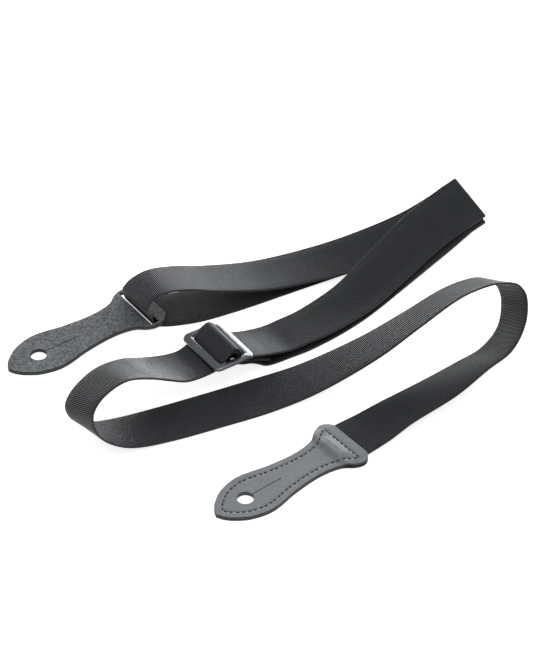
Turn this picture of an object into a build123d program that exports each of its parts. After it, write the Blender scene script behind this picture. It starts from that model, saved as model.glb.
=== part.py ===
"""Guitar strap: one length of webbing with a sewn leather tab at one end, a loop
tab threaded on it near the other end, and a tri-glide slider that sets its length.
The strap lies on a flat surface, folded back on itself three times.

Frame: millimetres, +Z up, origin under the middle of the folded strap, +X along
its length.  A webbing station is (x, y, z, heading, tilt): the middle of the
webbing, the direction it is headed in plan, and how far its far edge is raised.
"""
import os
from math import atan2, cos, degrees, radians, sin

from build123d import *

os.makedirs("parts", exist_ok=True)

# ---- driving dimensions -------------------------------------------------
WEB_WIDTH = 32.0
WEB_THICK = 1.3
SOFT_GAP = 0.3            # kept between soft pieces that move past each other
SECTION_SPACING = 8.0     # between the sections that a length of webbing is lofted through

LEATHER = 1.5             # one of the sewn tab's two layers
LOOP_LEATHER = 2.8        # the loop tab's single layer
TAB_LENGTH = 102.0
LOOP_TAB_LENGTH = 107.0
BUTTON_HOLE = 10.4
HOLE_FROM_TIP = 22.0
SLIT_LENGTH = 27.0
SLIT_WIDTH = 0.5
WEB_INSERT = 14.5         # webbing sewn in between the two leathers
WEB_SLOT_FROM_TIP = 96.2
WEB_SLOT_LENGTH = 37.0
WEB_SLOT_WIDTH = 5.4

STITCH_PITCH = 3.6
STITCH_LENGTH = 2.5
STITCH_WIDTH = 0.8
STITCH_HEIGHT = 0.35
STITCH_INSET = 4.7        # from the sides; the head has 2 mm more
POCKET_DEPTH = 0.5        # the back thread is pressed into the leather
POCKET_CLEAR = 0.15

SLIDER_LENGTH = 28.0      # along the strap
SLIDER_WIDTH = 41.6       # across the strap
SLIDER_THICK = 2.4
SIDE_BAR = 5.0            # width of the bars that lie over the webbing
SLIDER_CLEAR = 34.6       # clear width inside the frame
SLIDER_CORNER = 4.2
SLIDER_PLACE = 23.75      # along the straight stretch of webbing
CENTRE_BAR = 4.0
CENTRE_BAR_THICK = 2.0
TAIL_UPPER = 14.0         # sewn tail, from the centre bar to its free end
TAIL_LOWER = 16.0
TAIL_STITCH = 0.25        # height of the thread on the sewn tail


# ---- the webbing's route -------------------------------------------------
# The four layers of the folded end lie on one another at this station.
FOLD_HEADING = 6.0
FOLD_TILT = 27.0
FOLD_UP = Vector(0.1, -1.0, 2.0).normalized()

TAB_RUN = [(-32.9, -86.9, 2.15, 2, 0), (-17, -86.1, 2.0, 2, -4), (1, -85.6, 3.8, 2, -10),
           (35, -85.6, 5.6, 2, -16), (62, -84.2, 8.4, 2, -26), (82, -82.7, 10, 3, -31)]
RIGHT_LOOP = [(100, -75.5, 15.3, 0, -38), (110, -65.7, 24.5, -4, -39),
              (110, -59.5, 31.5, -10, -37), (104.5, -55.5, 35, -14, -33),
              (95, -51.3, 36.7, -16, -30), (75, -47.2, 34.8, -16, -28)]
RETURN_RUN = [(47, -43.1, 25, -16, -23), (17, -38.9, 15, -15, -15), (-21, -30, 4.5, -14, -6),
              (-52, -22.4, 1.2, -13, 0), (-85, -14.8, 0.95, -13, 0), (-116, -7.3, 1.2, -14, -1)]
LEFT_LOOP = [(-140, -1.5, 3.4, -12, -5), (-154.5, 3, 8.5, -9, -14), (-162.2, 7, 16, -4, -21),
             (-162.4, 11, 25, 2, -24), (-153, 14.2, 31.7, 5, -23), (-135, 17, 34, 6, -18)]
RISE = [(-117, 17.3, 29, 3, -10), (-102, 17, 21.2, 0, -7), (-91, 16.9, 15.7, -2, -4)]
SLIDER_RUN = [(-81, 16.7, 15.6, -3.6, -2), (-40.5, 14.15, 15.6, -3.6, -2)]
FRONT_UPPER = [(-38, 14, 15.35, -3.6, -2.5), (-31, 13.4, 10.6, -3.6, -6), (-24, 12.8, 6.2, -3.6, -7),
               (-15, 12, 4.2, -3.6, -6), (-3, 11.1, 4.2, -3, -5.5), (14, 10.3, 4.3, 0, -4),
               (48, 14, 5.0, 9, 1),
               (83, 23, 8.4, 13, 9), (117, 31.8, 11.9, 10, 19), (146.5, 36.5, 14.6, 7, 25),
               (160.6, 38.1, 15.4, 6, 27)]
BACK_UPPER = [(160.5, 39.1, 13.4, 6, 27), (146.5, 37.8, 12.4, 5, 25), (117, 39, 9.7, -6, 13),
              (77, 46, 6.8, -11, 6), (44, 54.5, 6.0, -12, 1), (10.5, 62.7, 8.6, -13, -2),
              (-23, 72, 16.4, -14, -6)]
SLOT_BEND = [(-40, 77.5, 21.6, -13, -8), (-55.5, 81.5, 24, -12, -9), (-66, 83.5, 21, -10, -9),
             (-70, 84.7, 15, -6, -7), (-67.6, 85.9, 8.3, -1.3, -2), (-66.7, 85.9, 4.5, -1.3, 0),
             (-65.6, 85.9, 2.2, -1.5, 0), (-63.5, 84.9, 0.85, -3, 0)]
BACK_LOWER = [(-52, 78.6, 0.75, -12, 0), (-37, 72.2, 0.75, -14, 0), (-20, 68, 0.75, -12, 0),
              (-2, 64.7, 0.75, -9.5, 0), (34, 59.2, 0.8, -9, 0), (73.7, 52.3, 1.3, -9, 1),
              (113.5, 43.5, 3.4, -6, 9), (146.5, 38.1, 7.5, 3, 25), (160.5, 38.8, 8.3, 6, 27)]
FRONT_LOWER = [(160.6, 37.8, 10.3, 6, 27), (146.5, 35.7, 9.3, 8, 25), (113, 28.7, 4.3, 12, 8),
               (77, 20.4, 2.3, 12, 3), (44, 13, 1.0, 10, 0), (21, 10.2, 0.8, 5, 0),
               (-2, 9.8, 0.75, -2, 0), (-14, 11.2, 0.75, -5, 0), (-26, 12.8, 0.75, -6, 0)]

# Spans that follow one another without a break share their tangents.
FIRST_LENGTH = [("webbing_tab_run", TAB_RUN), ("webbing_right_loop", RIGHT_LOOP),
                ("webbing_return_run", RETURN_RUN), ("webbing_left_loop", LEFT_LOOP),
                ("webbing_rise", RISE), ("webbing_slider_run", SLIDER_RUN),
                ("webbing_front_upper", FRONT_UPPER)]
SECOND_LENGTH = [("webbing_back_upper", BACK_UPPER), ("webbing_slot_bend", SLOT_BEND),
                 ("webbing_back_lower", BACK_LOWER)]
THIRD_LENGTH = [("webbing_front_lower", FRONT_LOWER)]


def width_direction(heading, tilt):
    """Unit vector across the webbing, from its near edge to its far edge."""
    h, t = radians(heading), radians(tilt)
    return Vector(-sin(h) * cos(t), cos(h) * cos(t), sin(t))


def smoothed(stations):
    """Stations at an even spacing on a smooth curve through the given ones.

    Also returns where each given station lies in the new list.
    """
    points = [Vector(*station[:3]) for station in stations]
    gaps = [(after - before).length for before, after in zip(points, points[1:])]
    slopes = []
    for i in range(len(stations)):
        a, b = max(i - 1, 0), min(i + 1, len(stations) - 1)
        slopes.append([(q - p) / sum(gaps[a:b]) for p, q in zip(stations[a], stations[b])])
    fine, places = [], []
    for i, gap in enumerate(gaps):
        places.append(len(fine))
        pieces = max(1, round(gap / SECTION_SPACING))
        for k in range(pieces):
            t = k / pieces
            stay, go = 2 * t**3 - 3 * t**2 + 1, 3 * t**2 - 2 * t**3
            leave, arrive = (t**3 - 2 * t**2 + t) * gap, (t**3 - t**2) * gap
            fine.append(tuple(stay * p + go * q + leave * m + arrive * n for p, q, m, n in
                              zip(stations[i], stations[i + 1], slopes[i], slopes[i + 1])))
    places.append(len(fine))
    return fine + [stations[-1]], places


def section_planes(stations):
    """A plane across the webbing at each station, facing along it."""
    points = [Vector(*station[:3]) for station in stations]
    planes = []
    for i, station in enumerate(stations):
        before = points[max(i - 1, 0)]
        after = points[min(i + 1, len(points) - 1)]
        middle = points[i]
        along = after - before
        across = width_direction(*station[3:])
        if 0 < i < len(points) - 1:
            along = (middle - before).normalized() + (after - middle).normalized()
        elif station[3:] == (FOLD_HEADING, FOLD_TILT):
            along = across.cross(FOLD_UP) * (1 if i else -1)
        along = along - across * along.dot(across)
        planes.append(Plane(origin=middle, x_dir=across, z_dir=along.normalized()))
    return planes


def export(part, name):
    part.label = name
    export_step(part, f"parts/{name}.step")


def webbing_length(spans):
    """Lofts one continuous length of webbing, span by span."""
    stations, places = smoothed([station for _, span in spans for station in span])
    planes = section_planes(stations)
    first = 0
    for name, span in spans:
        last = min(first + len(span), len(places) - 1)
        with BuildPart() as web:
            for plane in planes[places[first]:places[last] + 1]:
                with BuildSketch(plane):
                    Rectangle(WEB_WIDTH, WEB_THICK)
            loft(ruled=True)
        export(web.part, name)
        first = last


def end_fold(name, upper, lower):
    """The tight half turn that joins two layers at the folded end."""
    across = width_direction(FOLD_HEADING, FOLD_TILT)
    rise = Vector(*upper[:3]) - Vector(*lower[:3])
    middle = Vector(*lower[:3]) + rise * 0.5
    plane = Plane(origin=middle, x_dir=across.cross(FOLD_UP), z_dir=across)
    with BuildPart() as fold:
        with BuildSketch(plane):
            Circle((rise.length + WEB_THICK) / 2)
            Circle((rise.length - WEB_THICK) / 2, mode=Mode.SUBTRACT)
            Rectangle(WEB_WIDTH, WEB_WIDTH, align=(Align.MAX, Align.CENTER), mode=Mode.SUBTRACT)
        extrude(amount=WEB_WIDTH / 2, both=True)
    export(fold.part, name)


def tab_outline(length):
    """Half of the spade outline from its tip, mirrored about the tab's own X axis."""
    with BuildLine() as half:
        side = Spline((0, 0), (6, 8.6), (15, 14.4), (29, 17.3), (50, 13.5), (69, 11.9),
                      (83, 14), (90, 18.8), (94, 20.4), tangents=((0.3, 1), (1, 0.25)))
        TangentArc(side @ 1, (length, 13.5), tangent=side % 1)
        Line((length, 13.5), (length, 0))
        mirror(about=Plane.XZ)
    make_face(half.edges())


def button_hole_and_slit():
    """The hole that snaps over a strap button, and the slit that lets it stretch."""
    with Locations((HOLE_FROM_TIP, 0)):
        Circle(BUTTON_HOLE / 2, mode=Mode.SUBTRACT)
        Rectangle(SLIT_LENGTH, SLIT_WIDTH, align=(Align.MIN, Align.CENTER), mode=Mode.SUBTRACT)


def stitch_places(length, inset, pitch):
    """Equal places along the line that runs inside the tab's edge."""
    with BuildSketch() as inside:
        tab_outline(length - 2)
        offset(amount=-inset)
    seam = inside.face().outer_wire()
    count = round(seam.length / pitch)
    places = []
    for i in range(count):
        spot = seam.position_at(i / count)
        run = seam.tangent_at(i / count)
        places.append(Location((spot.X, spot.Y, 0), (0, 0, degrees(atan2(run.Y, run.X)))))
    return places


# ---- the webbing ------------------------------------------------------------
for length in (FIRST_LENGTH, SECOND_LENGTH, THIRD_LENGTH):
    webbing_length(length)
end_fold("webbing_fold_upper", FRONT_UPPER[-1], BACK_UPPER[0])
end_fold("webbing_fold_lower", FRONT_LOWER[0], BACK_LOWER[-1])

# ---- the sewn tab -----------------------------------------------------------
# Two leathers face to face; at the head they open round the end of the webbing.
SEWN_TAB = Plane(origin=(-137, -90.7, 0), x_dir=(cos(radians(2)), sin(radians(2)), 0),
                 z_dir=(0, 0, 1))
SEWN_TAB_SIDE = Plane(origin=SEWN_TAB.origin, x_dir=SEWN_TAB.x_dir, z_dir=-SEWN_TAB.y_dir)
WEB_START = TAB_LENGTH - WEB_INSERT
RAMP_START = WEB_START - 5.5
WEB_END = TAB_LENGTH + 1.3
SEAM = stitch_places(TAB_LENGTH, STITCH_INSET, STITCH_PITCH)

with BuildPart() as sewn_tab_back:
    with BuildSketch(SEWN_TAB):
        tab_outline(TAB_LENGTH)
        button_hole_and_slit()
    extrude(amount=LEATHER)
    with BuildSketch(SEWN_TAB):
        with Locations(*SEAM):
            SlotOverall(STITCH_LENGTH + 2 * POCKET_CLEAR, STITCH_WIDTH + 2 * POCKET_CLEAR)
    extrude(amount=POCKET_DEPTH, mode=Mode.SUBTRACT)
export(sewn_tab_back.part, "sewn_tab_back")

with BuildPart() as webbing_tab_end:
    with BuildSketch(SEWN_TAB.offset(LEATHER)):
        with Locations((WEB_START, 0)):
            Rectangle(WEB_END - WEB_START, WEB_WIDTH, align=(Align.MIN, Align.CENTER))
    extrude(amount=WEB_THICK)
export(webbing_tab_end.part, "webbing_tab_end")

with BuildPart() as sewn_tab_front:
    with BuildSketch(SEWN_TAB_SIDE):
        with BuildLine():
            Polyline((0, LEATHER), (RAMP_START, LEATHER), (WEB_START, LEATHER + WEB_THICK),
                     (TAB_LENGTH, LEATHER + WEB_THICK), (TAB_LENGTH, 2 * LEATHER + WEB_THICK),
                     (WEB_START, 2 * LEATHER + WEB_THICK), (RAMP_START, 2 * LEATHER),
                     (0, 2 * LEATHER), close=True)
        make_face()
    extrude(amount=TAB_LENGTH / 2, both=True)
    with BuildSketch(SEWN_TAB):
        tab_outline(TAB_LENGTH)
        button_hole_and_slit()
    extrude(amount=4 * LEATHER, mode=Mode.INTERSECT)
export(sewn_tab_front.part, "sewn_tab_front")

# The thread on the back lies in its pockets, clear of what the tab rests on.
with BuildPart() as stitches_back:
    with BuildSketch(SEWN_TAB.offset(POCKET_DEPTH - STITCH_HEIGHT)):
        with Locations(*SEAM):
            SlotOverall(STITCH_LENGTH, STITCH_WIDTH)
    extrude(amount=STITCH_HEIGHT)
export(stitches_back.part, "stitches_back")

with BuildPart() as stitches_front:
    flat = [place for place in SEAM if place.position.X < RAMP_START - STITCH_LENGTH / 2]
    head = [place for place in SEAM if place.position.X > WEB_START + STITCH_LENGTH / 2]
    for height, places in ((2 * LEATHER, flat), (2 * LEATHER + WEB_THICK, head)):
        with BuildSketch(SEWN_TAB.offset(height)):
            with Locations(*places):
                SlotOverall(STITCH_LENGTH, STITCH_WIDTH)
        extrude(amount=STITCH_HEIGHT)
export(stitches_front.part, "stitches_front")

# ---- the loop tab -----------------------------------------------------------
# One thick leather; its head rests on the webbing that comes back under it.
LOOP_PITCH = 1.2
LOOP_HEADING = -1.3
LOOP_TAB = Plane(Location((-162.1, 89.5, 0), (0, -LOOP_PITCH, LOOP_HEADING)))
with BuildPart() as loop_tab:
    with BuildSketch(LOOP_TAB):
        tab_outline(LOOP_TAB_LENGTH)
        button_hole_and_slit()
        with Locations((WEB_SLOT_FROM_TIP, 0)):
            RectangleRounded(WEB_SLOT_WIDTH, WEB_SLOT_LENGTH, 1, mode=Mode.SUBTRACT)
    extrude(amount=LOOP_LEATHER)
export(loop_tab.part, "loop_tab")

# ---- the slider ---------------------------------------------------------------
# Its frame lies on the webbing and its centre bar passes beneath, so that the
# straight stretch of webbing runs through it without touching.
RUN_START = Vector(*SLIDER_RUN[0][:3])
RUN_ALONG = (Vector(*SLIDER_RUN[-1][:3]) - RUN_START).normalized()
RUN_UP = RUN_ALONG.cross(width_direction(*SLIDER_RUN[0][3:]))
SLIDER = Plane(origin=RUN_START + RUN_ALONG * SLIDER_PLACE, x_dir=RUN_ALONG, z_dir=RUN_UP)
SLIDER_SIDE = Plane(origin=SLIDER.origin, x_dir=SLIDER.x_dir, z_dir=-SLIDER.y_dir)
FRAME_BOTTOM = WEB_THICK / 2 + SOFT_GAP
TAIL_TOP = -WEB_THICK / 2 - 2 * SOFT_GAP
BAR_TOP = TAIL_TOP - WEB_THICK - 0.2
BAR_BOTTOM = BAR_TOP - CENTRE_BAR_THICK
RAIL = (SLIDER_WIDTH - SLIDER_CLEAR) / 2

with BuildPart() as slider:
    with BuildSketch(SLIDER.offset(FRAME_BOTTOM)):
        RectangleRounded(SLIDER_LENGTH, SLIDER_WIDTH, SLIDER_CORNER)
        RectangleRounded(SLIDER_LENGTH - 2 * SIDE_BAR, SLIDER_CLEAR, 1.5, mode=Mode.SUBTRACT)
    extrude(amount=SLIDER_THICK)
    top_rims = slider.faces().sort_by(Axis(SLIDER.origin, SLIDER.z_dir))[-1].edges()
    fillet(top_rims, radius=0.6)
    with BuildSketch(SLIDER.offset(BAR_BOTTOM)):
        with Locations((0, SLIDER_WIDTH / 2 - RAIL / 2), (0, RAIL / 2 - SLIDER_WIDTH / 2)):
            Rectangle(CENTRE_BAR, RAIL)
    extrude(amount=FRAME_BOTTOM - BAR_BOTTOM)
    with BuildSketch(SLIDER.offset(BAR_BOTTOM)):
        Rectangle(CENTRE_BAR, SLIDER_WIDTH)
    extrude(amount=CENTRE_BAR_THICK)
export(slider.part, "slider")

UPPER_STRAND = TAIL_TOP - WEB_THICK / 2
TURN_RADIUS = (CENTRE_BAR_THICK + WEB_THICK) / 2 + 0.2
LOWER_AT_BAR = UPPER_STRAND - 2 * TURN_RADIUS
LOWER_STRAND = UPPER_STRAND - WEB_THICK - 0.05
with BuildPart() as webbing_tail:
    with BuildSketch(SLIDER_SIDE):
        with BuildLine():
            Line((TAIL_UPPER, UPPER_STRAND), (-1.6, UPPER_STRAND))
            ThreePointArc((-1.6, UPPER_STRAND), (-1.6 - TURN_RADIUS, UPPER_STRAND - TURN_RADIUS),
                          (-1.6, LOWER_AT_BAR))
            Spline((-1.6, LOWER_AT_BAR), (2.5, LOWER_AT_BAR + 0.3), (7.5, LOWER_STRAND),
                   tangents=((1, 0), (1, 0)))
            Line((7.5, LOWER_STRAND), (TAIL_LOWER, LOWER_STRAND))
        trace(line_width=WEB_THICK)
    extrude(amount=WEB_WIDTH / 2, both=True)
export(webbing_tail.part, "webbing_tail")

with BuildPart() as tail_stitches:
    for height, rise in ((TAIL_TOP, TAIL_STITCH), (LOWER_STRAND - WEB_THICK / 2, -TAIL_STITCH)):
        with BuildSketch(SLIDER.offset(height)):
            with Locations((TAIL_UPPER - 3.5, 0)):
                with GridLocations(4, 3.4, 2, 8):
                    SlotOverall(STITCH_LENGTH, STITCH_WIDTH, rotation=90)
        extrude(amount=rise)
export(tail_stitches.part, "tail_stitches")
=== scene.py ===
"""Guitar strap, laid out on a pale floor: ribbed webbing, a sewn leather tab, a suede
loop tab threaded on the webbing and a tri-glide slider.

Metres, in the CAD frame.  A webbing station is (x, y, z, heading, tilt) in millimetres
and degrees, as in the CAD source: the middle of the webbing, the direction it is headed
in plan, and how far its far edge is raised.
"""
from math import asin, atan2, cos, degrees, pi, radians, sin

import bpy
import numpy as np
from mathutils import Matrix, Vector


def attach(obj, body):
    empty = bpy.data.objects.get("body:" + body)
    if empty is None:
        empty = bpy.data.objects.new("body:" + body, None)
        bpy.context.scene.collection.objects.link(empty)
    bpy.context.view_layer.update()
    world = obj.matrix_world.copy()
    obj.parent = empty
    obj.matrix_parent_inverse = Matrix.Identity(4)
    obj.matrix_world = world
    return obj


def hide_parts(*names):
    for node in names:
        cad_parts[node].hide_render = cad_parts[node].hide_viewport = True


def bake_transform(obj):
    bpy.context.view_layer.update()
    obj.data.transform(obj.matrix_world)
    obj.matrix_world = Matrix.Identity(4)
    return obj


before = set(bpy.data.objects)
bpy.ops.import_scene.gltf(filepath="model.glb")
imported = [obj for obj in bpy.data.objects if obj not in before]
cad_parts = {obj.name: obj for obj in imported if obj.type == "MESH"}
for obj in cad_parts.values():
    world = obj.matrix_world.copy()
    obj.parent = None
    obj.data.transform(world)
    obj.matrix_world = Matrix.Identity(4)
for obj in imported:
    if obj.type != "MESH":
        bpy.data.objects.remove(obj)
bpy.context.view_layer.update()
MM = 0.001

# ---- sizes, in millimetres ---------------------------------------------------
WEB_WIDTH = 32.0
WEB_THICK = 1.3
RIB_PITCH = 1.05
RIB_STEPS = 4
RIB_HEIGHT = 0.2
YARN_PITCH = 1.1
EDGE_TOOTH = 0.12
LEATHER = 1.5
LOOP_LEATHER = 2.8
TAB_LENGTH = 102.0
LOOP_TAB_LENGTH = 107.0
HOLE_FROM_TIP = 22.0
BUTTON_HOLE = 10.4
SLIT_LENGTH = 27.0
SLIT_WIDTH = 0.5
SEAM_INSET = 4.7
SEAM_STEP = 0.4
STITCH_PITCH = 3.6
STITCH_LENGTH = 2.7
TAIL_STITCH_LENGTH = 2.4
TOP_THREAD = 0.8
UNDER_THREAD = 0.6
SLOT_START = 93.5
SLOT_END = 98.9
SLOT_HALF_LENGTH = 18.5
SLIDER_PLACE = 23.75
SLIDER_LENGTH = 28.0
SLIDER_WIDTH = 41.2
SLIDER_CORNER = 4.2
WINDOW_LENGTH = 18.0
WINDOW_WIDTH = 32.8
WINDOW_CORNER = 1.5
BAR_WIDTH = 3.4
BAR_THICK = 2.4
BAR_CORNER = 0.9
BAR_REACH = 17.6
BAR_STEPS = 8
BOW_START = 8.4
BOW_SLOPE = 0.19

# ---- the webbing's route, as in the CAD source -------------------------------
BETWEEN_LEATHERS = [(-49.5, -87.5, 2.15, 2, 0), (-42, -87.2, 2.15, 2, 0)]
TAB_RUN = [(-32.9, -86.9, 2.15, 2, 0), (-17, -86.1, 2.0, 2, -4), (1, -85.6, 3.8, 2, -10),
           (35, -85.6, 5.6, 2, -16), (62, -84.2, 8.4, 2, -26), (82, -82.7, 10, 3, -31)]
RIGHT_LOOP = [(100, -75.5, 15.3, 0, -38), (110, -65.7, 24.5, -4, -39),
              (110, -59.5, 31.5, -10, -37), (104.5, -55.5, 35, -14, -33),
              (95, -51.3, 36.7, -16, -30), (75, -47.2, 34.8, -16, -28)]
RETURN_RUN = [(47, -43.1, 25, -16, -23), (17, -38.9, 15, -15, -15), (-21, -30, 4.5, -14, -6),
              (-52, -22.4, 1.2, -13, 0), (-85, -14.8, 0.95, -13, 0), (-116, -7.3, 1.2, -14, -1)]
LEFT_LOOP = [(-140, -1.5, 3.4, -12, -5), (-154.5, 3, 8.5, -9, -14), (-162.2, 7, 16, -4, -21),
             (-162.4, 11, 25, 2, -24), (-153, 14.2, 31.7, 5, -23), (-135, 17, 34, 6, -18)]
RISE = [(-117, 17.3, 29, 3, -10), (-102, 17, 21.2, 0, -7), (-91, 16.9, 15.7, -2, -4)]
SLIDER_RUN = [(-81, 16.7, 15.6, -3.6, -2), (-40.5, 14.15, 15.6, -3.6, -2)]
FRONT_UPPER = [(-3, 11.1, 4.2, -3, -5.5), (14, 10.3, 4.3, 0, -4), (48, 14, 5.0, 9, 1),
               (83, 23, 8.4, 13, 9), (117, 31.8, 11.9, 10, 19), (146.5, 36.5, 14.6, 7, 25),
               (160.6, 38.1, 15.4, 6, 27)]
BACK_UPPER = [(160.5, 39.1, 13.4, 6, 27), (146.5, 37.8, 12.4, 5, 25), (117, 39, 9.7, -6, 13),
              (77, 46, 6.8, -11, 6), (44, 54.5, 6.0, -12, 1), (10.5, 62.7, 8.6, -13, -2),
              (-23, 72, 16.4, -14, -6)]
SLOT_BEND = [(-40, 77.5, 21.6, -13, -8), (-55.5, 81.5, 24, -12, -9), (-66, 83.5, 21, -10, -9),
             (-70, 84.7, 15, -6, -7), (-67.6, 85.9, 8.3, -1.3, -2), (-66.7, 85.9, 4.5, -1.3, 0),
             (-65.6, 85.9, 2.2, -1.5, 0), (-63.5, 84.9, 0.85, -3, 0)]
BACK_LOWER = [(-52, 78.6, 0.75, -12, 0), (-37, 72.2, 0.75, -14, 0), (-20, 68, 0.75, -12, 0),
              (-2, 64.7, 0.75, -9.5, 0), (34, 59.2, 0.8, -9, 0), (73.7, 52.3, 1.3, -9, 1),
              (113.5, 43.5, 3.4, -6, 9), (146.5, 38.1, 7.5, 3, 25), (160.5, 38.8, 8.3, 6, 27)]
FRONT_LOWER = [(160.6, 37.8, 10.3, 6, 27), (146.5, 35.7, 9.3, 8, 25), (113, 28.7, 4.3, 12, 8),
               (77, 20.4, 2.3, 12, 3), (44, 13, 1.0, 10, 0), (21, 10.2, 0.8, 5, 0),
               (-2, 9.8, 0.75, -2, 0), (-14, 11.2, 0.75, -5, 0), (-26, 12.8, 0.75, -6, 0)]

# The shape the webbing really takes where the CAD source has it straight through the
# slider: it dips on both sides of the frame and humps over the centre bar.
DIP = [(-82, 16.8, 13.2, -3.6, -5), (-76, 16.4, 12.9, -3.6, -5)]
COMES_OUT = [(-43, 14.3, 11.6, -3.6, -6), (-36.5, 13.8, 9.5, -3.6, -7), (-27, 13.2, 6.5, -3.6, -7.2),
             (-15, 12, 4.2, -3.6, -6)]
CLIMB = [(-32.8, 13.4, 1.9, -3.6, -1), (-37.5, 13.9, 4.85, -3.6, -2)]
SEWN_END = [(-39, 13.9, 8.2, -3.6, -5), (-33, 13.5, 5.1, -3.6, -5), (-30, 13.3, 4.0, -3.6, -5)]

# In the slider's own frame: x along the strap, z out of the webbing.
OVER_BAR = [(-12.3, -1.4), (-9, -0.6), (-7.5, 0.8), (-5.5, 3.4), (-3, 6.0), (0, 8.0), (2.8, 8.6),
            (5, 7.4), (6.4, 4.6), (7.6, 1.4), (9.2, -1.2), (12, -3.0)]
ROUND_BAR = [(14, -7.0), (8.3, -5.1), (4.5, -3.2), (1.2, -1.0), (-2.2, 0.2), (-4.2, 2.2),
             (-3.9, 4.6), (-1, 6.4), (2.2, 6.7), (4.3, 5.2), (5.2, 2.4), (6.2, -0.6), (8.5, -3.1),
             (13, -5.0)]


def add_object(name, data):
    """A new object in the scene."""
    made = bpy.data.objects.new(name, data)
    bpy.context.scene.collection.objects.link(made)
    return made


def unit(v):
    """Vectors scaled to length 1."""
    return v / np.linalg.norm(v, axis=-1, keepdims=True)


def across(heading, tilt):
    """Unit vectors across the webbing, from the near edge to the far edge."""
    h, t = np.radians(heading), np.radians(tilt)
    return np.stack([-np.sin(h) * np.cos(t), np.cos(h) * np.cos(t), np.sin(t)], -1)


# ---- the slider's frame --------------------------------------------------------
RUN_START = np.array(SLIDER_RUN[0][:3])
RUN_X = unit(np.array(SLIDER_RUN[-1][:3]) - RUN_START)
RUN_Z = unit(np.cross(RUN_X, across(*SLIDER_RUN[0][3:])))
RUN_Y = np.cross(RUN_Z, RUN_X)
SLIDER_AT = RUN_START + SLIDER_PLACE * RUN_X


def on_slider(x, z):
    """A webbing station at a point of the slider's own frame."""
    heading = degrees(atan2(-RUN_Y[0], RUN_Y[1]))
    tilt = degrees(asin(RUN_Y[2]))
    return (*(SLIDER_AT + x * RUN_X + z * RUN_Z), heading, tilt)


# ---- the webbing's line ----------------------------------------------------------
def smooth(stations, step=0.5):
    """Close points on a smooth curve through the stations."""
    s = np.array(stations, float)
    gap = np.linalg.norm(np.diff(s[:, :3], axis=0), axis=1)
    at = np.concatenate([[0], np.cumsum(gap)])
    slope = np.zeros_like(s)
    slope[1:-1] = (s[2:] - s[:-2]) / (at[2:] - at[:-2])[:, None]
    slope[0] = (s[1] - s[0]) / gap[0]
    slope[-1] = (s[-1] - s[-2]) / gap[-1]
    fine = []
    for i, g in enumerate(gap):
        t = np.linspace(0, 1, max(2, round(g / step)), endpoint=False)[:, None]
        fine.append((2 * t**3 - 3 * t**2 + 1) * s[i] + (3 * t**2 - 2 * t**3) * s[i + 1]
                    + (t**3 - 2 * t**2 + t) * g * slope[i] + (t**3 - t**2) * g * slope[i + 1])
    return np.vstack(fine + [s[-1:]])


def fold(upper, lower, outward, steps=14):
    """The tight half turn between two stations at the folded end."""
    a, b = np.array(upper, float), np.array(lower, float)
    turn = np.linspace(0, pi, steps + 2)[1:-1, None]
    reach = np.linalg.norm(a[:3] - b[:3]) / 2
    points = (a + b) / 2 + (a - b) / 2 * np.cos(turn)
    points[:, :3] += np.array(outward) * reach * np.sin(turn) * 1.15
    return points


def whole_line():
    """Close stations along the whole webbing, from the sewn tab to its sewn tail."""
    hump = [on_slider(x, z) for x, z in OVER_BAR]
    first = (BETWEEN_LEATHERS + TAB_RUN + RIGHT_LOOP + RETURN_RUN + LEFT_LOOP + RISE + DIP
             + hump + COMES_OUT + FRONT_UPPER)
    round_bar = [on_slider(x, z) for x, z in ROUND_BAR]
    # The way the folded end points, square to the webbing's width.
    out = unit(np.cross(across(6, 27), unit(np.array([0.1, -1.0, 2.0]))))
    stretches = [smooth(first), fold(FRONT_UPPER[-1], BACK_UPPER[0], out),
                 smooth(BACK_UPPER + SLOT_BEND + BACK_LOWER),
                 fold(BACK_LOWER[-1], FRONT_LOWER[0], out),
                 smooth(FRONT_LOWER + CLIMB + round_bar + SEWN_END)]
    return np.vstack(stretches)


LINE = whole_line()
DISTANCE = np.concatenate([[0], np.cumsum(np.linalg.norm(np.diff(LINE[:, :3], axis=0), axis=1))])
RIBS = round(DISTANCE[-1] / RIB_PITCH)
# How far before and after a rib the line is read for its direction.
HEADING_REACH = 0.4


def rib_near(x, y, z):
    """The number of the rib nearest to a point."""
    i = np.argmin(np.linalg.norm(LINE[:, :3] - np.array([x, y, z]), axis=1))
    return round(DISTANCE[i] / DISTANCE[-1] * RIBS)


def cross_section():
    """Points round the webbing's section: (across, up, how much of a rib stands there)."""
    half, thick = WEB_WIDTH / 2, WEB_THICK / 2
    flat = [half - 0.9, half * 0.62, half * 0.3, 0, -half * 0.3, -half * 0.62, 0.9 - half]
    top = [(v, thick, 1.0) for v in flat]
    near = [(-half + 0.3, thick * 0.8, 0.7), (-half, 0.28, 0.0), (-half, -0.28, 0.0),
            (-half + 0.3, -thick * 0.8, -0.7)]
    bottom = [(-v, -thick, -1.0) for v in flat]
    far = [(half - 0.3, -thick * 0.8, -0.7), (half, -0.28, 0.0), (half, 0.28, 0.0),
           (half - 0.3, thick * 0.8, 0.7)]
    return np.array(top + near + bottom + far)


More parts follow.
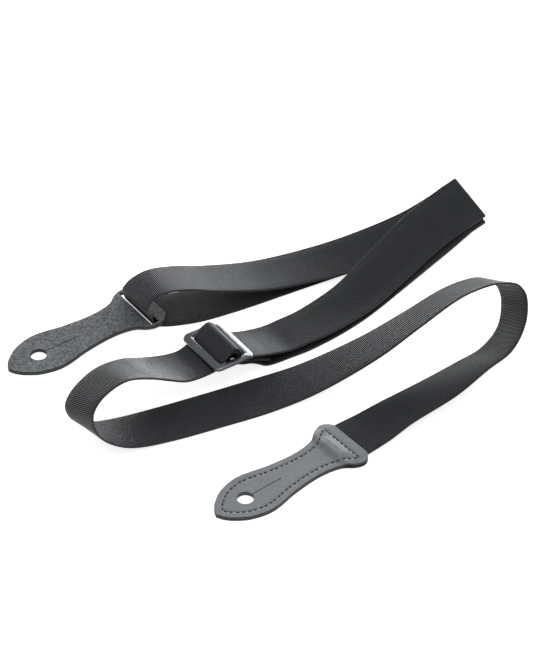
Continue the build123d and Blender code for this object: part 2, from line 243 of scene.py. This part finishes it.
def webbing(name, first_rib, last_rib):
    """Ribbed webbing between two ribs of the whole line."""
    count = (last_rib - first_rib) * RIB_STEPS + 1
    rib = np.linspace(first_rib, last_rib, count)
    here = rib / RIBS * DISTANCE[-1]
    at = np.stack([np.interp(here, DISTANCE, LINE[:, k]) for k in range(5)], -1)
    ahead = np.stack([np.interp(here + HEADING_REACH, DISTANCE, LINE[:, k]) for k in range(3)], -1)
    behind = np.stack([np.interp(here - HEADING_REACH, DISTANCE, LINE[:, k]) for k in range(3)], -1)
    wide = across(at[:, 3], at[:, 4])
    along = ahead - behind
    along = unit(along - wide * np.sum(wide * along, -1, keepdims=True))
    up = np.cross(along, wide)
    section = cross_section()
    swell = np.cos(2 * pi * rib)
    height = section[:, 1] + RIB_HEIGHT * swell[:, None] * section[:, 2]
    edge = np.where(section[:, 2] == 0, np.sign(section[:, 0]) * EDGE_TOOTH, 0)
    side = section[:, 0] + swell[:, None] * edge
    points = at[:, None, :3] + side[..., None] * wide[:, None] + height[..., None] * up[:, None]
    n = len(section)
    i, j = np.meshgrid(np.arange(count - 1), np.arange(n), indexing="ij")
    k = (j + 1) % n
    faces = np.stack([i * n + j, (i + 1) * n + j, (i + 1) * n + k, i * n + k], -1).reshape(-1, 4)
    mesh = bpy.data.meshes.new(name)
    ends = [list(range(n)), list(range(count * n - 1, (count - 1) * n - 1, -1))]
    mesh.from_pydata((points.reshape(-1, 3) * MM).tolist(), [], faces.tolist() + ends)
    weave = mesh.attributes.new("weave", "FLOAT_VECTOR", "POINT")
    where = np.zeros((count, n, 3))
    where[..., 0] = rib[:, None]
    where[..., 1] = section[:, 0]
    where[..., 2] = section[:, 2]
    weave.data.foreach_set("vector", where.reshape(-1))
    mesh.shade_smooth()
    piece = add_object(name, mesh)
    mesh.materials.append(WEBBING)
    length = (last_rib - first_rib) / RIBS * DISTANCE[-1]
    return piece, length


# ---- materials -----------------------------------------------------------------
def material(name, color, roughness, **settings):
    """A principled material, its node tree and its shader."""
    made = bpy.data.materials.new(name)
    made.use_nodes = True
    shader = made.node_tree.nodes["Principled BSDF"]
    shader.inputs["Base Color"].default_value = (*color, 1)
    shader.inputs["Roughness"].default_value = roughness
    for key, value in settings.items():
        shader.inputs[key.replace("_", " ")].default_value = value
    return made, made.node_tree, shader


def node(tree, kind, **inputs):
    """A node with its inputs set to values or linked to other nodes' outputs."""
    made = tree.nodes.new(kind)
    for key, value in inputs.items():
        socket = made.inputs[int(key[1:])] if key[1:].isdigit() else made.inputs[key.replace("_", " ")]
        if isinstance(value, bpy.types.NodeSocket):
            tree.links.new(value, socket)
        else:
            socket.default_value = value
    return made


def math(tree, operation, *values):
    """The output of a math node on values or other nodes' outputs."""
    made = tree.nodes.new("ShaderNodeMath")
    made.operation = operation
    for socket, value in zip(made.inputs, values):
        if isinstance(value, bpy.types.NodeSocket):
            tree.links.new(value, socket)
        else:
            socket.default_value = value
    return made.outputs[0]


def ramp(tree, factor, *stops):
    """The output of a colour ramp with stops of (place, colour)."""
    made = tree.nodes.new("ShaderNodeValToRGB")
    tree.links.new(factor, made.inputs[0])
    band = made.color_ramp.elements
    while len(band) < len(stops):
        band.new(0.5)
    for element, (place, color) in zip(band, stops):
        element.position = place
        element.color = (*color, 1)
    return made.outputs[0]


def webbing_material():
    """Black polyester: cross ribs over a fine plain weave, with painted highlight on the ribs' crests
    and painted shade in their hollows.
    """
    made, tree, shader = material("webbing", (0.008, 0.0082, 0.009), 0.42, Specular_IOR_Level=0.4,
                                  Specular_Tint=(0.88, 0.95, 1, 1))
    place = node(tree, "ShaderNodeAttribute")
    place.attribute_name = "weave"
    parts = node(tree, "ShaderNodeSeparateXYZ", _0=place.outputs["Vector"])
    rib, width = parts.outputs[0], parts.outputs[1]
    swell = math(tree, "COSINE", math(tree, "MULTIPLY", rib, 2 * pi))
    crest = math(tree, "MULTIPLY_ADD", swell, 0.5, 0.5)
    yarn = math(tree, "ADD", math(tree, "MULTIPLY", width, 2 * pi / YARN_PITCH),
                math(tree, "MULTIPLY", rib, pi))
    thread = math(tree, "MULTIPLY_ADD", math(tree, "COSINE", yarn), 0.5, 0.5)
    fleck = node(tree, "ShaderNodeTexNoise", Vector=place.outputs["Vector"], Scale=2.2, Detail=3.0)
    # The crest share of this mix drives the colour ramp below: pale crests are painted highlight and
    # near-black hollows are painted shade. The thread and fleck shares are the weave's own tone.
    mix = math(tree, "ADD", math(tree, "MULTIPLY", crest, 0.82), math(tree, "MULTIPLY", thread, 0.1))
    mix = math(tree, "MULTIPLY_ADD", fleck.outputs[0], 0.16, mix)
    color = ramp(tree, mix, (0.4, (0.0002, 0.0002, 0.0002)), (0.7, (0.006, 0.0064, 0.007)),
                 (0.97, (0.15, 0.16, 0.175)))
    tree.links.new(color, shader.inputs["Base Color"])
    tree.links.new(math(tree, "MULTIPLY_ADD", crest, -0.62, 0.96), shader.inputs["Roughness"])
    bump = node(tree, "ShaderNodeBump", Height=mix, Distance=0.0006, Strength=1.0)
    tree.links.new(bump.outputs[0], shader.inputs["Normal"])
    return made


def leather_material(name, dark, pale, roughness, grain, depth, sheen=0.0):
    """Leather with a pebbled grain whose hollows are darker."""
    made, tree, shader = material(name, pale, roughness, Sheen_Weight=sheen, Sheen_Roughness=0.5)
    where = node(tree, "ShaderNodeTexCoord").outputs["Object"]
    cells = node(tree, "ShaderNodeTexVoronoi", Vector=where, Scale=grain)
    cells.feature = "SMOOTH_F1"
    cloud = node(tree, "ShaderNodeTexNoise", Vector=where, Scale=grain * 0.45, Detail=6.0,
                 Roughness=0.7)
    wide = node(tree, "ShaderNodeTexNoise", Vector=where, Scale=55.0, Detail=2.0)
    mix = math(tree, "MULTIPLY_ADD", cells.outputs["Distance"], -0.5, cloud.outputs[0])
    tone = math(tree, "MULTIPLY_ADD", wide.outputs[0], 0.35, mix)
    color = ramp(tree, tone, (0.25, dark), (0.75, pale))
    tree.links.new(color, shader.inputs["Base Color"])
    bump = node(tree, "ShaderNodeBump", Height=mix, Distance=depth, Strength=0.7)
    tree.links.new(bump.outputs[0], shader.inputs["Normal"])
    return made


WEBBING = webbing_material()
TAB_TOP = leather_material("tab leather", (0.17, 0.187, 0.201), (0.225, 0.246, 0.264),
                           0.42, 900, 0.00003)
TAB_EDGE = leather_material("painted leather edge", (0.012, 0.014, 0.016), (0.028, 0.031, 0.034),
                            0.5, 900, 0.0001)
SUEDE = leather_material("suede", (0.036, 0.041, 0.045), (0.21, 0.226, 0.238),
                         0.85, 800, 0.0007, 0.25)
SUEDE_EDGE = leather_material("suede edge", (0.01, 0.012, 0.013), (0.035, 0.038, 0.041),
                              0.75, 900, 0.0003)


def thread_material():
    """Black waxed thread with a fine twist."""
    made, tree, shader = material("waxed thread", (0.012, 0.012, 0.013), 0.45)
    where = node(tree, "ShaderNodeTexCoord").outputs["Object"]
    twist = node(tree, "ShaderNodeTexWave", Vector=where, Scale=700.0, Distortion=1.0)
    color = ramp(tree, twist.outputs[0], (0.1, (0.006, 0.006, 0.007)), (0.9, (0.02, 0.02, 0.022)))
    tree.links.new(color, shader.inputs["Base Color"])
    bump = node(tree, "ShaderNodeBump", Height=twist.outputs[0], Distance=0.00008, Strength=0.6)
    tree.links.new(bump.outputs[0], shader.inputs["Normal"])
    return made


def slider_material():
    """Dark nickel, a little uneven, with faint handling marks."""
    made, tree, shader = material("dark nickel", (0.2, 0.211, 0.224), 0.46, Metallic=1.0)
    where = node(tree, "ShaderNodeTexCoord").outputs["Object"]
    cloud = node(tree, "ShaderNodeTexNoise", Vector=where, Scale=160.0, Detail=5.0)
    color = ramp(tree, cloud.outputs[0], (0.3, (0.185, 0.196, 0.208)), (0.7, (0.205, 0.216, 0.229)))
    tree.links.new(color, shader.inputs["Base Color"])
    marks = node(tree, "ShaderNodeTexNoise", Vector=where, Scale=1500.0, Detail=3.0)
    gloss = ramp(tree, marks.outputs[0], (0.3, (0.24, 0.24, 0.24)), (0.7, (0.36, 0.36, 0.36)))
    tree.links.new(gloss, shader.inputs["Roughness"])
    bump = node(tree, "ShaderNodeBump", Height=marks.outputs[0], Distance=0.00001, Strength=0.3)
    tree.links.new(bump.outputs[0], shader.inputs["Normal"])
    return made


THREAD = thread_material()
NICKEL = slider_material()


# ---- the webbing's pieces ----------------------------------------------------
def web_piece(name, start, end, body, nodes, bend=None):
    """One stretch of the webbing: it stands for its CAD nodes and rides on its body, or is left
    unparented where it is when a bend is given.
    """
    piece, length = webbing(name, start, end)
    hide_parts(*nodes)
    if bend:
        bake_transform(piece)
    else:
        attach(piece, body)


def place(station):
    """A station's point in metres."""
    return [station[0] * MM, station[1] * MM, station[2] * MM]


TAB_CUT = rib_near(8, -85.6, 4.1)
RISE_CUT = rib_near(*RISE[0][:3])
BAR_CUT = rib_near(*on_slider(0, 8)[:3])
FRONT_CUT = rib_near(34, 12.4, 4.6)
BACK_CUT = rib_near(*BACK_LOWER[3][:3])
UNDER_CUT = rib_near(*FRONT_LOWER[3][:3])

web_piece("webbing_from_tab", 0, TAB_CUT, None, ["webbing_tab_end"],
          ("sewn_tab", "webbing", place((-40, -87.2, 2)), place((-27, -86.9, 2))))
web_piece("webbing_loops", TAB_CUT, RISE_CUT, "webbing",
          ["webbing_tab_run", "webbing_right_loop", "webbing_return_run", "webbing_left_loop"])
web_piece("webbing_into_slider", RISE_CUT, BAR_CUT, None,
          ["webbing_rise", "webbing_slider_run"],
          ("webbing", "slider", place(RISE[0]), place(on_slider(-9, 0))))
web_piece("webbing_out_of_slider", BAR_CUT, FRONT_CUT, None, [],
          ("slider", "webbing", place(on_slider(9, 0)), place((34, 12.4, 4.6))))
web_piece("webbing_upper_layers", FRONT_CUT, BACK_CUT, "webbing",
          ["webbing_front_upper", "webbing_fold_upper", "webbing_back_upper",
           "webbing_slot_bend"])
web_piece("webbing_under_layer", BACK_CUT, UNDER_CUT, "webbing",
          ["webbing_back_lower", "webbing_fold_lower"])
web_piece("webbing_sewn_tail", UNDER_CUT, RIBS, None,
          ["webbing_front_lower", "webbing_tail"],
          ("webbing", "slider", place((-2, 9.6, 0.8)), place(on_slider(12, -6))))

# ---- the leather tabs ------------------------------------------------------------
SEWN_TAB = Matrix.Translation(Vector((-137, -90.7, 0)) * MM) @ Matrix.Rotation(radians(2), 4, "Z")
LOOP_TAB = (Matrix.Translation(Vector((-162.1, 89.5, 0)) * MM)
            @ Matrix.Rotation(radians(-1.2), 4, "Y") @ Matrix.Rotation(radians(-1.3), 4, "Z"))
CORNER_STEPS = 16
SEWN_HEAD_STEPS = 84
SUEDE_HEAD_STEPS = 30


def half_outline(length):
    """The spade's upper half, from its tip to the straight edge of its head."""
    knots = [(0, 0), (1.9, 4.0), (6, 8.6), (15, 14.4), (29, 17.3), (50, 13.5), (69, 11.9),
             (83, 14), (90, 18.8), (94, 20.4)]
    side = smooth([(u, v, 0) for u, v in knots])[:, :2]
    # The head's corner is an arc: inward is the side's normal, chord leads to the head's edge.
    inward, chord = np.array([0.2425, -0.9701]), np.array([length - 94, -6.9])
    radius = chord @ chord / (2 * chord @ inward)
    centre = side[-1] + radius * inward
    first, last = side[-1] - centre, side[-1] + chord - centre
    turn = np.linspace(atan2(first[1], first[0]), atan2(last[1], last[0]), CORNER_STEPS)[1:]
    corner = centre + radius * np.stack([np.cos(turn), np.sin(turn)], -1)
    return np.vstack([side, corner])


def ring_at(outline, inset, across_steps=60):
    """The closed outline moved in by an inset, with a point at each step along the head."""
    end = outline[-1]
    head = np.linspace(end, end * [1, -1], across_steps + 1)
    ring = np.vstack([outline, head[1:-1], outline[:0:-1] * [1, -1]])
    ahead = unit(np.roll(ring, -1, 0) - ring)
    behind = np.roll(ahead, 1, 0)
    out = unit(np.stack([-(ahead + behind)[:, 1], (ahead + behind)[:, 0]], -1))
    square = np.stack([-ahead[:, 1], ahead[:, 0]], -1)
    return ring - out * (inset / np.sum(out * square, -1))[:, None]


def distance(points, line):
    """Each point's distance to the nearest point of a line."""
    return np.min(np.linalg.norm(points[:, None] - line[None], axis=2), axis=1)


def seam_line():
    """Close points along the seam, which keeps 2 mm further from the head's edge."""
    outline = half_outline(TAB_LENGTH - 2)
    inner = ring_at(outline, SEAM_INSET)
    kept = inner[distance(inner, ring_at(outline, 0)) > SEAM_INSET - 0.05]
    loop = np.vstack([kept, kept[:1]])
    reach = np.concatenate([[0], np.cumsum(np.linalg.norm(np.diff(loop, axis=0), axis=1))])
    even = np.linspace(0, reach[-1], round(reach[-1] / SEAM_STEP), endpoint=False)
    return np.stack([np.interp(even, reach, loop[:, k]) for k in (0, 1)], -1)


SEAM = seam_line()
# The rounded cut edge: (how far in, share of the half thickness).
RIM = [(0.45, 1.0), (0.22, 0.95), (0.06, 0.72), (0.0, 0.35)]


def tab_mesh(name, length, bottom, top, slots, cutters, place_at, across_steps):
    """A leather tab: rounded cut edges, its two faces, and its holes cut through.

    bottom and top give the faces' heights at (u, v)."""
    outline = half_outline(length)
    rings = [(1.0, -1.0)] + [(inset, -level) for inset, level in RIM]
    rings += [(inset, level) for inset, level in reversed(RIM)] + [(1.0, 1.0)]
    points = []
    for inset, level in rings:
        ring = ring_at(outline, inset, across_steps)
        low, high = bottom(ring[:, 0], ring[:, 1]), top(ring[:, 0], ring[:, 1])
        points.append(np.column_stack([ring, (low + high) / 2 + (high - low) / 2 * level]))
    n = len(points[0])
    faces = [(r * n + i, r * n + (i + 1) % n, (r + 1) * n + (i + 1) % n, (r + 1) * n + i)
             for r in range(len(rings) - 1) for i in range(n)]
    last = len(outline) - 1
    vertices = [tuple(p) for ring in points for p in ring]
    inner = ring_at(outline, 1.0, across_steps)
    share = np.linspace(0, 1, across_steps + 1)[1:-1, None]
    for base, surface, flip in ((0, bottom, True), ((len(rings) - 1) * n, top, False)):
        rows = [[base] * (across_steps + 1)]
        for i in range(1, last):
            middle = inner[i] * (1 - share) + inner[n - i] * share
            height = surface(middle[:, 0], middle[:, 1])
            row = list(range(len(vertices), len(vertices) + len(middle)))
            vertices += [(u, v, z) for (u, v), z in zip(middle, height)]
            rows.append([base + i] + row + [base + n - i])
        rows.append([base + last + k for k in range(across_steps + 1)])
        for before, after in zip(rows, rows[1:]):
            for k in range(across_steps):
                face = list(dict.fromkeys([before[k], after[k], after[k + 1], before[k + 1]]))
                faces.append(tuple(reversed(face)) if flip else tuple(face))
    mesh = bpy.data.meshes.new(name)
    mesh.from_pydata([(u * MM, v * MM, z * MM) for u, v, z in vertices], [], faces)
    for slot in slots:
        mesh.materials.append(slot)
    for index in range(2 * n, (2 * len(RIM) - 1) * n):
        mesh.polygons[index].material_index = 1
    piece = add_object(name, mesh)
    for cutter in cutters:
        cut(piece, cutter, slots)
    piece.data.shade_smooth()
    piece.data.set_sharp_from_angle(angle=radians(50))
    piece.matrix_world = place_at
    return piece


def prism(points, low=-5.0, high=12.0):
    """A closed prism on a polygon, for cutting."""
    n = len(points)
    vertices = [(u * MM, v * MM, z * MM) for z in (low, high) for u, v in points]
    faces = [tuple(reversed(range(n))), tuple(range(n, 2 * n))]
    faces += [(i, (i + 1) % n, n + (i + 1) % n, n + i) for i in range(n)]
    return vertices, faces


def cut(piece, shape, slots):
    """Cuts a prism out of a piece; the cut faces take the edge's material."""
    vertices, faces = shape
    mesh = bpy.data.meshes.new("cutter")
    mesh.from_pydata(vertices, [], faces)
    for slot in slots:
        mesh.materials.append(slot)
    for face in mesh.polygons:
        face.material_index = 1
    tool = add_object("cutter", mesh)
    change = piece.modifiers.new("cut", "BOOLEAN")
    change.object = tool
    change.solver = "EXACT"
    depsgraph = bpy.context.evaluated_depsgraph_get()
    result = bpy.data.meshes.new_from_object(piece.evaluated_get(depsgraph))
    piece.modifiers.clear()
    piece.data = result
    bpy.data.objects.remove(tool)


def button_hole():
    """Cutters for the round button hole and its slit."""
    turn = np.linspace(0, 2 * pi, 49)[:-1]
    hole = [(HOLE_FROM_TIP + BUTTON_HOLE / 2 * cos(a), BUTTON_HOLE / 2 * sin(a)) for a in turn]
    w = SLIT_WIDTH / 2
    start = HOLE_FROM_TIP + BUTTON_HOLE / 2 - 0.3
    end = HOLE_FROM_TIP + SLIT_LENGTH
    slit = [(start, -w), (end, -w), (end, w), (start, w)]
    return [prism(hole), prism(slit)]


def step(x, start, end):
    """A smooth step from 0 at start to 1 at end."""
    t = np.clip((np.asarray(x, float) - start) / (end - start), 0, 1)
    return t * t * (3 - 2 * t)


def seam_dip(u, v, depth):
    """How deep the tight thread pulls the leather in along the seam."""
    return depth * np.exp(-(distance(np.stack([u, v], -1), SEAM) / 0.7) ** 2)


def over_web(u, v):
    """How far the webbing's end lifts the front leather."""
    return WEB_THICK * step(u, 83.2, 87.2) - 0.55 * step(np.abs(v), 14.5, 19.5) * step(u, 86, 92)


def front_top(u, v):
    """The front leather's top face, with a pillow over the webbing's end."""
    pillow = 0.6 * step(u, 83, 88) * (1 - step(u, 90, 95)) * (1 - step(np.abs(v), 6, 13))
    return 2 * LEATHER + over_web(u, v) + pillow - seam_dip(u, v, 0.3)


def front_bottom(u, v):
    return LEATHER + over_web(u, v)


def back_top(u, v):
    return np.full(len(u), LEATHER)


def back_bottom(u, v):
    return 0.05 + seam_dip(u, v, 0.42)


def stitches(name, spots, length, thick):
    """Threads lying at (point, direction, up), each sinking into its holes at both ends."""
    around, along = 8, 9
    vertices, faces = [], []
    for point, run, up in spots:
        run, up = unit(np.array(run)), unit(np.array(up))
        side = np.cross(up, run)
        base = len(vertices)
        for k in range(along):
            t = 2 * k / (along - 1) - 1
            girth = thick / 2 * (1 - 0.45 * t**4)
            lift = thick * 0.28 - thick * 0.85 * t**4
            for a in range(around):
                turn = 2 * pi * a / around
                offset = side * cos(turn) * girth + up * (sin(turn) * girth * 0.75 + lift)
                vertices.append((np.array(point) + run * t * length / 2 + offset) * MM)
        for k in range(along - 1):
            for a in range(around):
                b = (a + 1) % around
                faces.append((base + k * around + a, base + k * around + b,
                              base + (k + 1) * around + b, base + (k + 1) * around + a))
        faces.append(tuple(base + a for a in reversed(range(around))))
        faces.append(tuple(base + (along - 1) * around + a for a in range(around)))
    mesh = bpy.data.meshes.new(name)
    mesh.from_pydata([tuple(v) for v in vertices], [], faces)
    mesh.materials.append(THREAD)
    mesh.shade_smooth()
    piece = add_object(name, mesh)
    return piece


def seam_spots(surface, up):
    """Equal places along the seam, with the surface's height and the thread's direction."""
    count = round(SEAM_STEP * len(SEAM) / STITCH_PITCH)
    spots = []
    for i in range(count):
        k = round((i + 0.5) / count * len(SEAM)) % len(SEAM)
        ends = SEAM[[k - 3, k, (k + 3) % len(SEAM)]]
        heights = surface(ends[:, 0], ends[:, 1])
        run = (*(ends[2] - ends[0]), heights[2] - heights[0])
        spots.append(((*ends[1], heights[1] + 0.08 * up), run, (0, 0, up)))
    return spots


sewn_front = tab_mesh("sewn_tab_front_leather", TAB_LENGTH, front_bottom, front_top,
                      [TAB_TOP, TAB_EDGE], button_hole(), SEWN_TAB, SEWN_HEAD_STEPS)
sewn_back = tab_mesh("sewn_tab_back_leather", TAB_LENGTH, back_bottom, back_top,
                     [TAB_EDGE, TAB_EDGE], button_hole(), SEWN_TAB, SEWN_HEAD_STEPS)
seam_front = stitches("seam_front", seam_spots(front_top, 1), STITCH_LENGTH, TOP_THREAD)
seam_back = stitches("seam_back", seam_spots(back_bottom, -1), STITCH_LENGTH, UNDER_THREAD)
for piece, cad, slot in ((sewn_front, "sewn_tab_front", "tab_leather"),
                         (sewn_back, "sewn_tab_back", "tab_leather"),
                         (seam_front, "stitches_front", "thread"),
                         (seam_back, "stitches_back", "thread")):
    piece.matrix_world = SEWN_TAB
    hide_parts(cad)
    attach(piece, "sewn_tab")


def loop_top(u, v):
    return np.full(len(u), LOOP_LEATHER)


def loop_bottom(u, v):
    return np.full(len(u), 0.02)


SLOT = [(SLOT_START, -SLOT_HALF_LENGTH), (SLOT_END, -SLOT_HALF_LENGTH),
        (SLOT_END, SLOT_HALF_LENGTH), (SLOT_START, SLOT_HALF_LENGTH)]
loop_tab = tab_mesh("loop_tab_suede", LOOP_TAB_LENGTH, loop_bottom, loop_top, [SUEDE, SUEDE_EDGE],
                    button_hole() + [prism(SLOT)], LOOP_TAB, SUEDE_HEAD_STEPS)
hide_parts("loop_tab")
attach(loop_tab, "loop_tab")


# ---- the slider ------------------------------------------------------------------
SLIDER = Matrix(np.vstack([np.column_stack([RUN_X, RUN_Y, RUN_Z, SLIDER_AT * MM]), [0, 0, 0, 1]]))
FRAME_BOTTOM = WEB_THICK / 2 + 0.3


def rounded_rectangle(length, width, radius, steps=10):
    """Points round a rectangle about the origin, with rounded corners."""
    points = []
    for quarter, (sx, sy) in enumerate(((1, 1), (-1, 1), (-1, -1), (1, -1))):
        for k in range(steps + 1):
            turn = pi / 2 * (quarter + k / steps)
            points.append((sx * (length / 2 - radius) + radius * cos(turn),
                           sy * (width / 2 - radius) + radius * sin(turn)))
    return np.array(points)


def slider_mesh():
    """A cast frame with rounded bars that slope down at its two ends, and its centre bar."""
    outer = rounded_rectangle(SLIDER_LENGTH, SLIDER_WIDTH, SLIDER_CORNER)
    inner = rounded_rectangle(WINDOW_LENGTH, WINDOW_WIDTH, WINDOW_CORNER)
    # Round the frame's section: (share of the way from its outside to its window, height).
    profile = [(0.16, 0.0), (0.05, 0.12), (0.0, 0.5), (0.0, 1.75), (0.05, 2.15), (0.17, 2.36),
               (0.38, 2.42), (0.62, 2.42), (0.83, 2.36), (0.95, 2.15), (1.0, 1.75), (1.0, 0.5),
               (0.95, 0.12), (0.84, 0.0)]
    vertices, faces = [], []
    n = len(outer)
    for share, height in profile:
        for x, y in outer * (1 - share) + inner * share:
            bow = BOW_SLOPE * max(0.0, abs(x) - BOW_START)
            vertices.append((x, y, FRAME_BOTTOM + height - bow * min(1.0, height)))
    rings = len(profile)
    for r in range(rings):
        s = (r + 1) % rings
        faces += [(r * n + i, r * n + (i + 1) % n, s * n + (i + 1) % n, s * n + i) for i in range(n)]
    bar = rounded_rectangle(BAR_WIDTH, BAR_THICK, BAR_CORNER, 6)
    m = len(bar)
    base = len(vertices)
    for y in np.linspace(-BAR_REACH, BAR_REACH, BAR_STEPS + 1):
        vertices += [(x, y, FRAME_BOTTOM + BAR_THICK / 2 + z) for x, z in bar]
    for k in range(BAR_STEPS):
        faces += [(base + k * m + i, base + (k + 1) * m + i, base + (k + 1) * m + (i + 1) % m,
                   base + k * m + (i + 1) % m) for i in range(m)]
    faces.append(tuple(base + i for i in range(m)))
    faces.append(tuple(base + BAR_STEPS * m + i for i in reversed(range(m))))
    return vertices, faces


vertices, faces = slider_mesh()
mesh = bpy.data.meshes.new("slider_frame")
mesh.from_pydata([(x * MM, y * MM, z * MM) for x, y, z in vertices], [], faces)
mesh.materials.append(NICKEL)
mesh.shade_smooth()
slider = add_object("slider_frame", mesh)
slider.matrix_world = SLIDER
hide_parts("slider")
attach(slider, "slider")

tail_spots = [((x, y, z), (0.25, 1, 0), (0, 0, up)) for x, z, up in
              ((9.5, -2.9, 1), (12.5, -4.2, 1), (9.5, -6.1, -1), (12.5, -7.2, -1))
              for y in np.arange(-13.5, 13.6, 3.0)]
tail_seam = stitches("tail_seam", tail_spots, TAIL_STITCH_LENGTH, UNDER_THREAD)
tail_seam.matrix_world = SLIDER
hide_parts("tail_stitches")
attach(tail_seam, "slider")


# ---- floor, light and camera -------------------------------------------------------
def floor_material():
    """Plain pale floor, lit from within like a light table, so that shadows stay faint."""
    return material("studio floor", (0.85, 0.85, 0.85), 0.9, Specular_IOR_Level=0.0,
                    Emission_Color=(1, 1, 1, 1), Emission_Strength=0.78)[0]


plane = bpy.data.meshes.new("floor")
plane.from_pydata([(-4, -4, 0), (4, -4, 0), (4, 4, 0), (-4, 4, 0)], [], [(0, 1, 2, 3)])
plane.materials.append(floor_material())
floor = add_object("floor", plane)


def soft_light(name, at, size, power):
    """A softbox that faces the strap."""
    lamp = bpy.data.lights.new(name, "AREA")
    lamp.shape = "RECTANGLE"
    lamp.size, lamp.size_y = size
    lamp.energy = power
    made = add_object(name, lamp)
    made.location = at
    made.rotation_euler = (-Vector(at)).to_track_quat("-Z", "Y").to_euler()


soft_light("overhead", (-0.3, -0.2, 2.2), (2.4, 2.4), 22)
soft_light("far right", (2.2, 1.1, 0.62), (2.8, 1.1), 72)
soft_light("behind", (0.7, 2.4, 0.4), (2.4, 0.7), 24)

world = bpy.data.worlds.new("studio")
world.use_nodes = True
bpy.context.scene.world = world
background = world.node_tree.nodes["Background"]
background.inputs["Color"].default_value = (1, 1, 1, 1)
background.inputs["Strength"].default_value = 0.32
bpy.context.scene.view_settings.view_transform = "Standard"

# A focal length of 3200 pixels for a picture 666 pixels high.
SENSOR_HEIGHT = 36
FOCAL_LENGTH = 3200 * SENSOR_HEIGHT / 666
CAMERA_ELEVATION = 40.5
CAMERA_HEADING = 53
lens = bpy.data.cameras.new("camera")
lens.sensor_fit = "VERTICAL"
lens.sensor_height = SENSOR_HEIGHT
lens.lens = FOCAL_LENGTH
camera = add_object("camera", lens)
camera.location = (-0.9235, -1.1833, 1.291)
camera.rotation_euler = (radians(90 - CAMERA_ELEVATION), 0, radians(CAMERA_HEADING - 90))
bpy.context.scene.camera = camera
